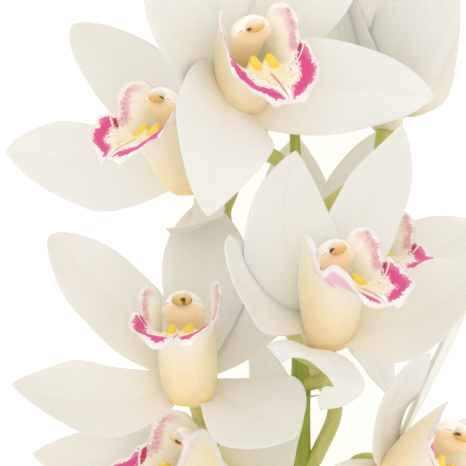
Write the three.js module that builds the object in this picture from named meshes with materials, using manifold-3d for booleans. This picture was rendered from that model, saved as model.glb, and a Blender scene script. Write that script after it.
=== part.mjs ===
// Cymbidium orchid: one cut flower stem, lying on a surface on its rear petals and its cut end.
// Millimetres. +Z is up, +Y runs along the stem to its tip, and the surface is at z = 0.
import * as THREE from "three";
import { mergeVertices } from "three/addons/utils/BufferGeometryUtils.js";
import Module from "manifold-3d";

const wasm = await Module();
wasm.setup();

// ---------------------------------------------------------------- driving dimensions
const BLADE_THICKNESS = 0.8;       // sepals and petals
const LIP_THICKNESS = 0.9;
const CLEARANCE = 0.35;            // between pieces that touch on the real flower
const SEPAL_LENGTH = 62;
const SEPAL_WIDTH = 27;
const PETAL_LENGTH = 65;
const PETAL_WIDTH = 26;
const TIP_WIDTH = 0.05;            // share of a blade's half width that is left at its very tip
const BLADE_ROOT = 3.0;            // where a blade starts, from the heart of its bloom
const RECEPTACLE = { radii: [5.2, 7.4, 4.4], centre: [0, -2.4, -0.6] };
const PEDICEL_RADIUS = 2.5;
const OVARY_RADIUS = 3.0;

// The middle of the whole stem. Everything below is placed from a point under the middle blooms, and
// the finished stem is moved by this much so that its own middle is the origin.
const MIDDLE = [19, -64.6];

// The flowering stalk, from its cut end to its tip: x, y, z and radius.
const STALK = [
  [10, -335, 4.2, 4.4],
  [14, -270, 7.5, 4.3],
  [18, -200, 15, 4.1],
  [21, -130, 27, 3.7],
  [22, -75, 35, 3.2],
  [21.5, -20, 39, 2.6],
  [20, 30, 42, 1.7],
  [18, 95, 44, 1.6],
  [18, 140, 44, 1.5],
  [22, 170, 43, 1.3],
];
const STALK_SIDES = 8;
const STALK_STEPS = 20;

// The five blades of a bloom. A blade's direction is a clock angle round the bloom's axis, seen from
// the front with the dorsal sepal at 0, and a lean towards the front. Then roll turns it about its own
// length, twist turns its tip further, bow and hook bend it (+ is towards the front), sweep bends it
// sideways, cup is half the arc of its cross-section and a smaller belly puts its widest part nearer to
// its root.
const BLADES = {
  dorsal: { clock: 0, lean: 20, length: SEPAL_LENGTH, width: SEPAL_WIDTH },
  left_petal: { clock: -52, lean: 28, length: PETAL_LENGTH, width: PETAL_WIDTH },
  right_petal: { clock: 52, lean: 28, length: PETAL_LENGTH, width: PETAL_WIDTH },
  left_sepal: { clock: -108, lean: 22, length: SEPAL_LENGTH, width: SEPAL_WIDTH },
  right_sepal: { clock: 108, lean: 22, length: SEPAL_LENGTH, width: SEPAL_WIDTH },
};
const BLADE_SHAPE = { roll: 0, twist: 0, bow: -4, hook: 0, sweep: 0, cup: 22, belly: 1.16 };

// The blooms down the stem. `at` is the heart of the bloom; tilt is how far it turns from facing
// straight up, heading the way it turns to (0 is along the stem, + to its right) and roll turns it
// about its own axis. `stalk` is where its pedicel leaves the flowering stalk and `via` the points that
// the pedicel passes. The other entries change single blades.
const BLOOMS = [
  {
    name: "bloom_1", at: [-6, 150, 58], tilt: 56, heading: -22, roll: 12,
    stalk: 104, via: [[12, 118, 48], [2, 132, 49]],
    left_petal: { lean: 26 },
  },
  {
    name: "bloom_2", at: [50, 37, 28], tilt: 96, heading: 9, roll: 180,
    stalk: 4, via: [[32, 10, 42], [43, 19, 37]],
    dorsal: { clock: 10, lean: 51, length: 70, width: 34 },
    left_petal: { clock: -9, lean: 56, length: 65, width: 30, roll: 10 },
    right_petal: { clock: 52, lean: 50, length: 65 },
    left_sepal: { clock: -136, lean: 56, length: 49, width: 30, belly: 0.8, roll: 44, bow: -6.5, sweep: -3 },
    right_sepal: { clock: 118, lean: 48, length: 60 },
  },
  {
    name: "bloom_3", at: [-0.8, 47.8, 66], tilt: 25, heading: 55, roll: -66,
    stalk: 16, via: [[14.5, 23.3, 46], [9.5, 27, 48], [7, 36, 50]],
    left_petal: { clock: -45, lean: 34, length: 57, width: 32, roll: 15, bow: 0, sweep: -5 },
    left_sepal: { clock: -151, lean: 18, length: 54, width: 37, belly: 0.9, roll: -21, twist: 24, bow: 8.5, sweep: 7.5 },
    right_sepal: { clock: 103, lean: 3, length: 68, width: 32, belly: 0.6, roll: 23, twist: 2, bow: 19, sweep: -3 },
  },
  {
    name: "bloom_4", at: [-10.3, 22.2, 34], tilt: 46, heading: -54, roll: 62,
    stalk: -35, via: [[3, -12, 24], [-3, 5, 20]],
    dorsal: { clock: -7, lean: 14, length: 60 },
    left_petal: { clock: -47, lean: 39, length: 62, width: 32, belly: 1.4, roll: -23, twist: -6, bow: -10, sweep: -2 },
    right_petal: { clock: 24, lean: 11, length: 48, width: 24 },
    left_sepal: { clock: -91, lean: 12.7, length: 73, width: 36, belly: 1.3, roll: -54, twist: -12, bow: 1, sweep: -1 },
    right_sepal: { clock: 160, lean: 30, length: 40, width: 18, belly: 1.4, roll: 15, twist: -24, bow: -10, sweep: 0 },
  },
  {
    name: "bloom_5", at: [25.7, -28.2, 72.5], tilt: 39, heading: 35, roll: -50,
    stalk: -49, via: [[29, -47, 41], [30, -43, 50]],
    dorsal: { clock: -8, lean: 41, length: 56, width: 35, belly: 0.9, roll: -4, bow: -4, sweep: -5 },
    left_petal: { clock: -72, lean: 38, length: 55, width: 32, roll: 12, twist: -11, bow: -7, sweep: 1 },
    right_petal: { clock: 36, lean: 37, length: 68, width: 30, belly: 1.25, roll: 22, twist: 14, bow: -7, sweep: 4.5 },
    left_sepal: "hooked",
    right_sepal: { clock: 104, lean: 50, length: 61, width: 40, belly: 1.45, roll: -6, twist: -18, bow: -6, sweep: 8 },
  },
  {
    name: "bloom_6", at: [33.5, -20, 15.5], tilt: 46, heading: 40, roll: -36,
    stalk: -80, via: [[28, -70, 36], [33, -56, 33], [26, -44, 18], [25, -36, 9]],
    dorsal: { clock: 5, lean: 38, length: 56 },
    left_petal: { clock: -29, lean: 27, length: 53, width: 29, belly: 1.4, roll: -3, twist: -3, bow: -9, sweep: -2 },
    right_petal: { clock: 64, lean: 26, length: 58, bow: -2 },
    left_sepal: { clock: -71, lean: -30, length: 48 },
    right_sepal: { clock: 140, lean: -18, length: 37, width: 22, roll: -8, bow: -2, sweep: -5 },
  },
  {
    name: "bloom_7", at: [-12.6, -46.8, 58], tilt: 40, heading: -12, roll: 11,
    stalk: -122, via: [[13, -103, 19], [4, -89, 20], [-2.5, -77, 19], [-9, -62.5, 25]],
    dorsal: { clock: 4, lean: 17, length: 62, width: 29, belly: 1.3, roll: 13, twist: 5, bow: 4, sweep: 1.5 },
    left_petal: { clock: -51, lean: 32, length: 65, width: 29, roll: 7, twist: 2, bow: -2.5, sweep: 1 },
    right_petal: { clock: 47, lean: 22, length: 59 },
    left_sepal: { clock: -105, lean: 21.5, length: 60, width: 36, belly: 1.4, roll: -4, twist: 20, bow: -4.5, sweep: -5.5 },
    right_sepal: { clock: 132, lean: 10, length: 47, width: 35, belly: 1.5, roll: -15, twist: 20, bow: -1, sweep: -1 },
  },
  {
    name: "bloom_8", at: [50, -74.3, 50], tilt: 40, heading: 84, roll: -52,
    stalk: -125, via: [[34, -112, 34], [42, -94, 38]],
    dorsal: { clock: -19, lean: 25, length: 62, width: 28, belly: 1.35, roll: 47, twist: -6, bow: -1, sweep: 3.5 },
    left_petal: { clock: -38, lean: 36, length: 43, width: 26, belly: 1, roll: 41, twist: -39, bow: -6, sweep: -8 },
    left_sepal: { clock: -152, lean: 14, length: 46 },
  },
  {
    name: "bloom_9", at: [2.2, -84, 36], tilt: 63, heading: -69, roll: 97,
    stalk: -114, via: [[16, -103, 26]],
    dorsal: { clock: -11, lean: 18, length: 51, width: 34, belly: 0.65, roll: 23, twist: -11, bow: -8, sweep: 7 },
    left_petal: { clock: -84, lean: 47, length: 62, width: 24 },
    right_petal: { clock: 97, lean: 7, length: 55 },
    left_sepal: { clock: -119, lean: 61, length: 68, width: 27, roll: 6, sweep: 2.5 },
    right_sepal: { clock: 135, lean: 24, length: 60 },
  },
];

const BUDS = [
  { name: "bud_1", at: [33, 163, 40], aim: [0.55, 0.8, 0.25], stalk: 146, via: [[26, 153, 42]] },
  { name: "bud_2", at: [24.5, 181, 40], aim: [0.1, 1, -0.05], stalk: 167, via: [] },
];
const BUD = { length: 21, radius: 4.8, root: 1.6 };

// One lateral sepal of bloom_5 is deeply folded and hooks round towards the viewer: its rows from the
// root to the rim, in the stem's own x, y, z.
const HOOKED_SEPAL = [
  [
    [29.5, -35.5, 70], [30, -36, 70], [30.5, -36.5, 70], [30.5, -36.5, 70], [31, -36.5, 70],
    [31, -36.5, 71], [31, -36.5, 71], [31, -36, 71],
  ],
  [
    [21.5, -36.5, 76], [24, -37, 75], [27, -38, 74], [31.5, -39, 77], [34.5, -40.5, 79],
    [36.5, -43.5, 80], [35.5, -46.5, 82], [33.5, -48.5, 83],
  ],
  [
    [11, -34.5, 97], [17, -33.5, 95], [23.5, -36, 92], [31.5, -37.5, 89], [37.5, -41.5, 92],
    [40.5, -48, 96], [34.5, -53, 98], [27.5, -54.5, 98],
  ],
  [
    [13, -37.5, 101], [17.5, -36, 102], [23, -37.5, 101], [29.5, -39.5, 99], [33.5, -43, 101],
    [35.5, -47.5, 104], [31, -50, 104], [26.5, -52.5, 102],
  ],
  [
    [15.5, -40, 100], [18, -38.5, 103], [23, -39, 104], [27, -42, 104], [29.5, -44.5, 105],
    [31, -47.5, 106], [28, -47.5, 105], [26, -51, 103],
  ],
];

// A bract sits under the foot of every pedicel, and sheaths wrap the bare lower stalk.
const BRACT = { length: 6, width: 3.6, thickness: 1.2 };
const SHEATHS = [-275, -205];
const SHEATH = { length: 42, rise: 1.2 };

// The lip in the bloom's frame (x to its right, y up, z to the front): the rim of its right half from
// its foot over the side lobe and the notch to the tip of the midlobe, and the floor under it.
const LIP_RIM = [
  [2.6, -10.2, 0.9], [6.4, -5.5, 3.5], [8, 1, 8], [8.4, 8.5, 14], [7.9, 14.4, 20], [8.8, 17, 26],
  [11.6, 15.2, 30.6], [13.1, 9.5, 32.4], [12.8, 3.2, 31.3], [13.8, 0.4, 33.6], [14.6, -4.8, 37.6],
  [12.8, -12.4, 41], [7.2, -17.4, 42.4], [1.5, -19.2, 42.4],
];
const LIP_FLOOR = [
  [-10.8, 0.7], [-12, 3.5], [-11.8, 7.5], [-10.9, 12], [-9.4, 16.5], [-7.6, 21], [-6.1, 25],
  [-5.5, 28.5], [-6.2, 31], [-8, 33.2], [-10.6, 35.8], [-13.6, 38.6], [-16.8, 41], [-19, 42.5],
];
const LIP_BULGE = [1, 1.25, 1.3, 1.3, 1.35, 1.3, 1.1, 1, 0.9, 0.75, 0.7, 0.65, 0.6, 0.6];
const LIP_RISE = [0, -1, -1.4, -1.2, -1, -0.8, -0.5, -0.4, -0.2, 0, 0.4, 0.4, 0.2, 0];
const LIP_ROWS = 12;
const LIP_COLUMNS = 6;
const RUFFLE = { height: 1.3, waves: 5 };
const KEEL = { height: 3.2, place: 0.44, length: 0.2, side: 0.33 };

// The column arches forward over the lip: height of its axis, reach, half width and half height.
const COLUMN = [
  [2, 4.4, 4.2, 3.4],
  [4, 9.5, 4.8, 3.6],
  [6.5, 16, 5.6, 4.2],
  [9, 21.6, 6.3, 4.6],
  [10, 25.2, 6.3, 4.4],
  [10.4, 27.8, 5, 3.6],
  [10.5, 29, 2.8, 2],
];
const ANTHER_CAP = { radii: [3.1, 2.2, 2.3], centre: [0, 9.4, 28.7] };

// ---------------------------------------------------------------- materials
const paint = (color, roughness) => new THREE.MeshStandardMaterial({ color, roughness, metalness: 0 });
const PETAL_PAINT = paint(0xf1ede0, 0.6);
const LIP_PAINT = paint(0xf0b9c8, 0.55);
const COLUMN_PAINT = paint(0xf6e6c4, 0.5);
const ANTHER_PAINT = paint(0xf2c66a, 0.5);
const STEM_PAINT = paint(0x93a53a, 0.55);
const BUD_PAINT = paint(0xe4e2b8, 0.6);

// ---------------------------------------------------------------- solids
function toSolid(geometry) {
  geometry.deleteAttribute("normal");
  geometry.deleteAttribute("uv");
  const merged = mergeVertices(geometry, 1e-4);
  const vertProperties = Float32Array.from(merged.attributes.position.array);
  const triVerts = Uint32Array.from(merged.index.array);
  return new wasm.Manifold(new wasm.Mesh({ numProp: 3, vertProperties, triVerts }));
}

function toGeometry(solid) {
  const mesh = solid.getMesh();
  const geometry = new THREE.BufferGeometry();
  geometry.setAttribute("position", new THREE.BufferAttribute(mesh.vertProperties, 3));
  geometry.setIndex(new THREE.BufferAttribute(mesh.triVerts, 1));
  geometry.computeVertexNormals();
  return geometry;
}

// A cut can leave loose scraps: only the largest body is kept.
function largestBody(solid) {
  return solid.decompose().reduce((best, piece) => (piece.volume() > best.volume() ? piece : best));
}

function ellipsoid(radii, centre, segments = 10, rings = 7) {
  const geometry = new THREE.SphereGeometry(1, segments, rings);
  geometry.scale(...radii);
  geometry.translate(...centre);
  return geometry;
}

// A closed sheet of even thickness over a grid of points, rows by columns. Both faces are split into
// triangles alike.
function sheet(grid, thickness) {
  const rows = grid.length;
  const columns = grid[0].length;
  const at = (i, j) => grid[Math.min(rows - 1, Math.max(0, i))][Math.min(columns - 1, Math.max(0, j))];
  const positions = [];
  for (const side of [1, -1]) {
    for (let i = 0; i < rows; i++) {
      for (let j = 0; j < columns; j++) {
        const along = at(i + 1, j).clone().sub(at(i - 1, j));
        const across = at(i, j + 1).clone().sub(at(i, j - 1));
        const normal = across.cross(along).normalize();
        positions.push(...at(i, j).clone().addScaledVector(normal, side * thickness / 2).toArray());
      }
    }
  }
  const index = [];
  const back = rows * columns;
  const cell = (i, j) => i * columns + j;
  for (let i = 0; i < rows - 1; i++) {
    for (let j = 0; j < columns - 1; j++) {
      const [a, b, c, d] = [cell(i, j), cell(i, j + 1), cell(i + 1, j + 1), cell(i + 1, j)];
      index.push(a, b, c, a, c, d);
      index.push(back + a, back + c, back + b, back + a, back + d, back + c);
    }
  }
  const wall = (p, q) => index.push(p, back + p, q, q, back + p, back + q);
  for (let j = 0; j < columns - 1; j++) {
    wall(cell(0, j), cell(0, j + 1));
    wall(cell(rows - 1, j + 1), cell(rows - 1, j));
  }
  for (let i = 0; i < rows - 1; i++) {
    wall(cell(i + 1, 0), cell(i, 0));
    wall(cell(i, columns - 1), cell(i + 1, columns - 1));
  }
  const geometry = new THREE.BufferGeometry();
  geometry.setAttribute("position", new THREE.Float32BufferAttribute(positions, 3));
  geometry.setIndex(index);
  return geometry;
}

// A closed tube through stations of [point, half width, half height], with flat ends.
function tube(stations, sides) {
  const count = stations.length;
  const positions = [];
  let up = new THREE.Vector3(0, 0, 1);
  stations.forEach(([point, halfWidth, halfHeight], i) => {
    const before = stations[Math.max(0, i - 1)][0];
    const after = stations[Math.min(count - 1, i + 1)][0];
    const along = after.clone().sub(before).normalize();
    if (i === 0 && Math.abs(along.z) > 0.8) up = new THREE.Vector3(0, 1, 0);
    up = up.clone().addScaledVector(along, -up.dot(along)).normalize();
    const across = up.clone().cross(along);
    for (let k = 0; k < sides; k++) {
      const angle = (2 * Math.PI * k) / sides;
      const corner = point.clone().addScaledVector(across, halfWidth * Math.cos(angle));
      positions.push(...corner.addScaledVector(up, halfHeight * Math.sin(angle)).toArray());
    }
  });
  const index = [];
  const corner = (i, k) => i * sides + (k % sides);
  for (let i = 0; i < count - 1; i++) {
    for (let k = 0; k < sides; k++) {
      index.push(corner(i, k), corner(i, k + 1), corner(i + 1, k + 1));
      index.push(corner(i, k), corner(i + 1, k + 1), corner(i + 1, k));
    }
  }
  for (let k = 1; k < sides - 1; k++) {
    index.push(corner(0, 0), corner(0, k + 1), corner(0, k));
    index.push(corner(count - 1, 0), corner(count - 1, k), corner(count - 1, k + 1));
  }
  const geometry = new THREE.BufferGeometry();
  geometry.setAttribute("position", new THREE.Float32BufferAttribute(positions, 3));
  geometry.setIndex(index);
  return geometry;
}

// ---------------------------------------------------------------- sepals and petals
const BLADE_STEPS = [0, 0.14, 0.34, 0.58, 0.8, 1];
const BLADE_ACROSS = [-1, -0.4, 0.4, 1];

const bladeOutline = (t, belly) => {
  const swell = Math.sin(Math.PI * Math.pow(0.08 + 0.92 * t, belly));
  return Math.max(TIP_WIDTH, Math.pow(Math.max(0, swell), 0.75));
};

function bladeGrid(blade) {
  const clock = THREE.MathUtils.degToRad(blade.clock);
  const lean = THREE.MathUtils.degToRad(blade.lean);
  const roll = THREE.MathUtils.degToRad(blade.roll);
  const twist = THREE.MathUtils.degToRad(blade.twist);
  const cup = THREE.MathUtils.degToRad(blade.cup) || 1e-4;
  const along = new THREE.Vector3(
    Math.cos(lean) * Math.sin(clock), Math.cos(lean) * Math.cos(clock), Math.sin(lean));
  const front = new THREE.Vector3(0, 0, 1).addScaledVector(along, -along.z).normalize();
  front.applyAxisAngle(along, roll);
  const side = along.clone().cross(front);
  const midrib = (t) => along.clone().multiplyScalar(BLADE_ROOT + (blade.length - BLADE_ROOT) * t)
    .addScaledVector(front, blade.bow * 4 * t * (1 - t) + blade.hook * 6.75 * t * t * (1 - t))
    .addScaledVector(side, blade.sweep * 4 * t * (1 - t));
  return BLADE_STEPS.map((t) => {
    const tangent = midrib(t + 0.01).sub(midrib(t - 0.01)).normalize();
    const normal = front.clone().addScaledVector(tangent, -front.dot(tangent)).normalize();
    normal.applyAxisAngle(tangent, twist * t);
    const across = tangent.clone().cross(normal);
    const half = (blade.width / 2) * bladeOutline(t, blade.belly);
    return BLADE_ACROSS.map((s) => midrib(t)
      .addScaledVector(across, (half * Math.sin(cup * s)) / cup)
      .addScaledVector(normal, (half * (1 - Math.cos(cup * s))) / Math.abs(cup) * Math.sign(cup)));
  });
}

// ---------------------------------------------------------------- lip
function lipGrid() {
  const rim = new THREE.CatmullRomCurve3(LIP_RIM.map((p) => new THREE.Vector3(...p)));
  const floor = new THREE.CatmullRomCurve3(LIP_FLOOR.map(([y, z]) => new THREE.Vector3(0, y, z)));
  const blend = (list, u) => {
    const place = u * (list.length - 1);
    const low = Math.min(list.length - 2, Math.floor(place));
    return THREE.MathUtils.lerp(list[low], list[low + 1], place - low);
  };
  const grid = [];
  for (let i = 0; i <= LIP_ROWS; i++) {
    const u = i / LIP_ROWS;
    const edge = rim.getPoint(u);
    const base = floor.getPoint(u);
    const bend = new THREE.Vector3(
      edge.x * blend(LIP_BULGE, u), base.y + blend(LIP_RISE, u), base.z + (edge.z - base.z) * 0.3);
    const ruffle = RUFFLE.height * THREE.MathUtils.smoothstep(u, 0.5, 0.65);
    const wave = ruffle * Math.sin(2 * Math.PI * RUFFLE.waves * u);
    const keel = KEEL.height * Math.max(0, 1 - ((u - KEEL.place) / KEEL.length) ** 2);
    const row = [];
    for (let j = 0; j <= LIP_COLUMNS; j++) {
      const v = (2 * j) / LIP_COLUMNS - 1;
      const reach = Math.abs(v);
      const mirror = new THREE.Vector3(Math.sign(v) || 1, 1, 1);
      const point = base.clone().multiplyScalar((1 - reach) ** 2)
        .addScaledVector(bend, 2 * reach * (1 - reach))
        .addScaledVector(edge, reach ** 2)
        .add(new THREE.Vector3(0, wave * reach ** 3 * 0.5, wave * reach ** 3))
        .add(new THREE.Vector3(0, keel * Math.max(0, 1 - Math.abs(reach - KEEL.side) / KEEL.side), 0))
        .multiply(mirror);
      row.push(point);
    }
    grid.push(row);
  }
  return grid;
}

function columnStations(margin) {
  return COLUMN.map(([y, z, halfWidth, halfHeight]) => [
    new THREE.Vector3(0, y, z), halfWidth + margin, halfHeight + margin]);
}

const lipSolid = toSolid(sheet(lipGrid(), LIP_THICKNESS));
const antherRoom = toSolid(ellipsoid(
  ANTHER_CAP.radii.map((radius) => radius + 1.2 * CLEARANCE), ANTHER_CAP.centre, 6, 4));
const columnSolid = largestBody(toSolid(tube(columnStations(0), 8)).subtract(antherRoom));
const lipRoom = toSolid(sheet(lipGrid(), LIP_THICKNESS + 4 * CLEARANCE)
  .translate(0, 0, -CLEARANCE));
const columnRoom = toSolid(tube(columnStations(CLEARANCE), 8));
const antherSolid = toSolid(ellipsoid(ANTHER_CAP.radii, ANTHER_CAP.centre, 6, 4));

// ---------------------------------------------------------------- blooms
function turn(bloom) {
  const about = (x, y, z, degrees) => new THREE.Quaternion()
    .setFromAxisAngle(new THREE.Vector3(x, y, z), THREE.MathUtils.degToRad(degrees));
  return about(0, 0, 1, -bloom.heading)
    .multiply(about(1, 0, 0, -bloom.tilt))
    .multiply(about(0, 0, 1, -bloom.roll));
}

// The ground under a bloom, seen in the bloom's own frame.
function groundFor(bloom) {
  const ground = new THREE.BoxGeometry(400, 400, 50);
  ground.translate(0, 0, -25);
  const place = new THREE.Matrix4().compose(
    new THREE.Vector3(...bloom.at), turn(bloom), new THREE.Vector3(1, 1, 1));
  ground.applyMatrix4(place.invert());
  return toSolid(ground);
}

// The hooked sepal's rows, turned into its bloom's own frame.
function hookGrid(bloom) {
  const back = turn(bloom).invert();
  const at = new THREE.Vector3(...bloom.at);
  return HOOKED_SEPAL.map((row) => row.map((p) => new THREE.Vector3(...p).sub(at).applyQuaternion(back)));
}

function perianthSolid(bloom) {
  let solid = toSolid(ellipsoid(RECEPTACLE.radii, RECEPTACLE.centre, 6, 4));
  for (const [name, blade] of Object.entries(BLADES)) {
    const hooked = bloom[name] === "hooked";
    const grid = hooked ? hookGrid(bloom) : bladeGrid({ ...BLADE_SHAPE, ...blade, ...bloom[name] });
    solid = solid.add(toSolid(sheet(grid, BLADE_THICKNESS)));
  }
  solid = solid.subtract(lipRoom).subtract(lipSolid).subtract(columnRoom);
  return largestBody(solid.subtract(groundFor(bloom)));
}

function namedMesh(name, solid, material) {
  const mesh = new THREE.Mesh(toGeometry(solid), material);
  mesh.name = name;
  return mesh;
}

function makeBloom(bloom) {
  const group = new THREE.Group();
  group.position.set(...bloom.at);
  group.quaternion.copy(turn(bloom));
  group.add(namedMesh(`${bloom.name}_perianth`, perianthSolid(bloom), PETAL_PAINT));
  group.add(namedMesh(`${bloom.name}_lip`, lipSolid, LIP_PAINT));
  group.add(namedMesh(`${bloom.name}_column`, columnSolid, COLUMN_PAINT));
  group.add(namedMesh(`${bloom.name}_anther_cap`, antherSolid, ANTHER_PAINT));
  return group;
}

// ---------------------------------------------------------------- stem
const stalkCurve = new THREE.CatmullRomCurve3(STALK.map(([x, y, z]) => new THREE.Vector3(x, y, z)));

function stalkRadius(y) {
  const next = Math.max(1, STALK.findIndex((p) => p[1] >= y));
  const [low, high] = [STALK[next - 1], STALK[next]];
  const share = THREE.MathUtils.clamp((y - low[1]) / (high[1] - low[1]), 0, 1);
  return THREE.MathUtils.lerp(low[3], high[3], share);
}

// The point of the stalk at a given y.
function stalkPoint(y) {
  let [low, high] = [0, 1];
  for (let i = 0; i < 24; i++) {
    const middle = (low + high) / 2;
    if (stalkCurve.getPoint(middle).y < y) low = middle;
    else high = middle;
  }
  return stalkCurve.getPoint(low);
}

function smoothTube(points, radius, steps, sides) {
  const curve = new THREE.CatmullRomCurve3(points);
  const stations = [];
  for (let i = 0; i <= steps; i++) {
    const thickness = radius(i / steps);
    stations.push([curve.getPoint(i / steps), thickness, thickness]);
  }
  return toSolid(tube(stations, sides));
}

function pedicel(bloom) {
  const axis = new THREE.Vector3(0, 0, 1).applyQuaternion(turn(bloom));
  const heart = new THREE.Vector3(...bloom.at).addScaledVector(axis, RECEPTACLE.centre[2]);
  const end = heart.clone().addScaledVector(axis, -(RECEPTACLE.radii[2] + CLEARANCE));
  const ovary = heart.clone().addScaledVector(axis, -15);
  const points = [stalkPoint(bloom.stalk), ...bloom.via.map((p) => new THREE.Vector3(...p)), ovary, end];
  const radius = (t) => THREE.MathUtils.lerp(
    PEDICEL_RADIUS, OVARY_RADIUS, THREE.MathUtils.smoothstep(t, 0.4, 0.9));
  return smoothTube(points, radius, 10, 6);
}

function budPedicel(bud) {
  const foot = new THREE.Vector3(...bud.at);
  const end = foot.clone().addScaledVector(new THREE.Vector3(...bud.aim).normalize(), -2 * CLEARANCE);
  const points = [stalkPoint(bud.stalk), ...bud.via.map((p) => new THREE.Vector3(...p)), end];
  return smoothTube(points, () => BUD.root, 4, 6);
}

function makeBud(bud) {
  const foot = new THREE.Vector3(...bud.at);
  const aim = new THREE.Vector3(...bud.aim).normalize();
  const stations = BLADE_STEPS.map((t) => {
    const radius = BUD.radius * bladeOutline(t, BLADE_SHAPE.belly);
    return [foot.clone().addScaledVector(aim, BUD.length * t), radius, radius * 0.85];
  });
  return namedMesh(bud.name, toSolid(tube(stations, 8)), BUD_PAINT);
}

// A flat pointed scale from one point to another.
function scale(from, to, width, thickness) {
  const middle = from.clone().lerp(to, 0.45);
  const stations = [[from, width * 0.5, thickness * 0.5], [middle, width * 0.5, thickness * 0.5],
    [to, width * 0.06, thickness * 0.3]];
  return toSolid(tube(stations, 4));
}

function bract(piece) {
  const foot = stalkPoint(piece.stalk - 4);
  const toward = new THREE.Vector3(...(piece.via[0] || piece.at)).sub(stalkPoint(piece.stalk)).normalize();
  const out = toward.clone().setY(0).normalize();
  const start = foot.clone().addScaledVector(out, stalkRadius(piece.stalk) * 0.7);
  const tip = start.clone().addScaledVector(toward, BRACT.length).addScaledVector(out, 1.5);
  return scale(start, tip, BRACT.width, BRACT.thickness);
}

function sheath(start) {
  const stations = [0, 4, SHEATH.length, SHEATH.length + 3].map((step, i) => {
    const point = stalkPoint(start + step);
    const radius = stalkRadius(point.y) + (i % 3 === 0 ? -0.3 : SHEATH.rise);
    return [point, radius, radius];
  });
  return toSolid(tube(stations, STALK_SIDES));
}

function stemSolid() {
  const stations = [];
  for (let i = 0; i <= STALK_STEPS; i++) {
    const point = stalkCurve.getPoint(i / STALK_STEPS);
    stations.push([point, stalkRadius(point.y), stalkRadius(point.y)]);
  }
  let solid = toSolid(tube(stations, STALK_SIDES));
  for (const bloom of BLOOMS) solid = solid.add(pedicel(bloom)).add(bract(bloom));
  for (const bud of BUDS) solid = solid.add(budPedicel(bud)).add(bract(bud));
  for (const start of SHEATHS) solid = solid.add(sheath(start));
  const ground = new THREE.BoxGeometry(400, 800, 50);
  ground.translate(0, 0, -25);
  return largestBody(solid.subtract(toSolid(ground)));
}

// ---------------------------------------------------------------- the whole stem
const orchid = new THREE.Group();
orchid.position.set(-MIDDLE[0], -MIDDLE[1], 0);
for (const bloom of BLOOMS) orchid.add(makeBloom(bloom));
for (const bud of BUDS) orchid.add(makeBud(bud));
orchid.add(namedMesh("stem", stemSolid(), STEM_PAINT));

export default orchid;
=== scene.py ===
"""Cymbidium orchid stem: nine open blooms and two buds on a cut stalk, lying on a pale surface."""
import math
import bpy
import numpy as np
from mathutils import Matrix


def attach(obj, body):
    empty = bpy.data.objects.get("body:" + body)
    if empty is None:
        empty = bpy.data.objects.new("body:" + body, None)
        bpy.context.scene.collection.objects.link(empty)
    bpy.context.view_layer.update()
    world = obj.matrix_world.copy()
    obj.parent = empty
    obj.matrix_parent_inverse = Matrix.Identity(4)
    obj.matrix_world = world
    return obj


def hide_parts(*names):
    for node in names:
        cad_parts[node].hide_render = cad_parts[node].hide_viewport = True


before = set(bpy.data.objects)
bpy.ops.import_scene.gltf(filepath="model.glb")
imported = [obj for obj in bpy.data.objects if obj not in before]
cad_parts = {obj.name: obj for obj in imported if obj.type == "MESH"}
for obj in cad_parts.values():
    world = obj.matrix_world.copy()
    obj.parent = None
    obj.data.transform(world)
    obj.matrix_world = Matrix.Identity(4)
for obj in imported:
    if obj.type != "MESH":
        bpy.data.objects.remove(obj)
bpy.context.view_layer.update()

# ------------------------------------------------------------------ sizes, in millimetres and degrees
MILLIMETRE = 0.001
FIRST_SEED = 40
# The place on the stem's own plan that lies at the origin.
MIDDLE = np.array([19.0, -64.6, 0.0])
# What lies lower than this is squeezed towards the surface under the stem.
SQUEEZED = 1.0
# How far from the heart of its bloom a blade begins, and how thick it is there.
BLADE_ROOT, BLADE_THICKNESS = 3.0, 0.95
SEPAL = dict(length=62, width=27)
PETAL = dict(length=65, width=26)
BLADES = {
    "dorsal": dict(clock=0, lean=20, **SEPAL),
    "left_petal": dict(clock=-52, lean=28, **PETAL),
    "right_petal": dict(clock=52, lean=28, **PETAL),
    "left_sepal": dict(clock=-108, lean=22, **SEPAL),
    "right_sepal": dict(clock=108, lean=22, **SEPAL),
}
# clock is a blade's place round the face of its bloom and lean its slope to the front. roll turns it
# about its length and twist turns it on towards its tip, bow and sweep bend its midrib to the front and
# sideways, cup rounds it across and belly moves its widest place. wave lifts its edges in soft ruffles,
# groove presses the midrib in, curl turns both edges back, square fills the tip out, and edges are (side,
# place along, reach, height) of bumps on the outline.
SHAPE = dict(roll=0, twist=0, bow=-4, sweep=0, cup=22, belly=1.16, wave=0.7, waves=2.0, groove=0.45,
             curl=0.8, square=0.0, edges=())

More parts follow.
